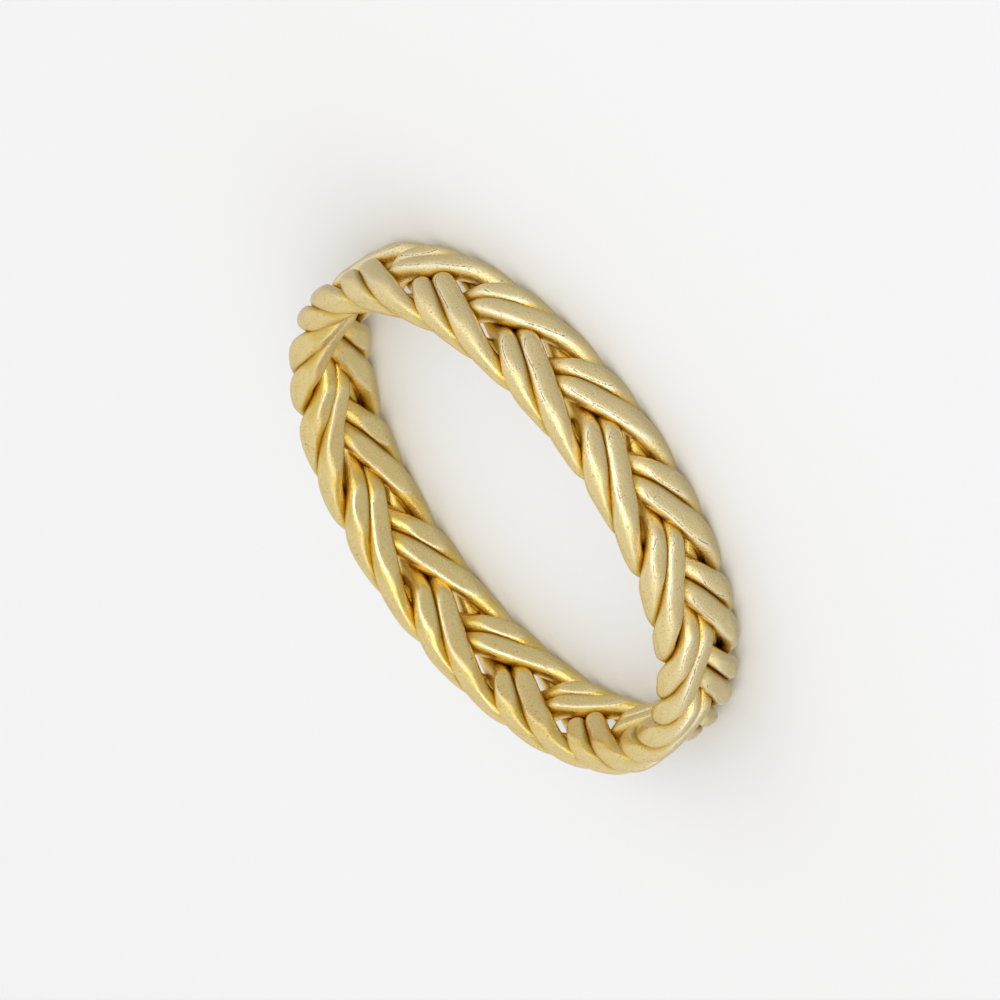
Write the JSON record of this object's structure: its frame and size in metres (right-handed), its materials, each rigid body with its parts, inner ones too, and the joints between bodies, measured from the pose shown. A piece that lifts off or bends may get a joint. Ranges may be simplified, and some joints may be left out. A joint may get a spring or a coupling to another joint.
{
  "type": "braided band ring",
  "caption": "Finger ring whose open band is a flat plait of doubled round wires, hammered smooth on its faces and rims.",
  "frame": {"origin": "on the ring's axis, in the plane of the lower rim that it rests on", "axes": "+Z along the ring's axis, up through the finger hole; +Y towards the seam where the wires' ends meet"},
  "size_m": [0.0202, 0.0202, 0.0033],
  "materials": {
    "gold": "satin yellow gold, finely scratched"
  },
  "bodies": {
    "root": {"strand_a_lead": "gold", "strand_a_trail": "gold", "strand_b_lead": "gold", "strand_b_trail": "gold", "strand_c_lead": "gold", "strand_c_trail": "gold"}
  },
  "joints": []
}
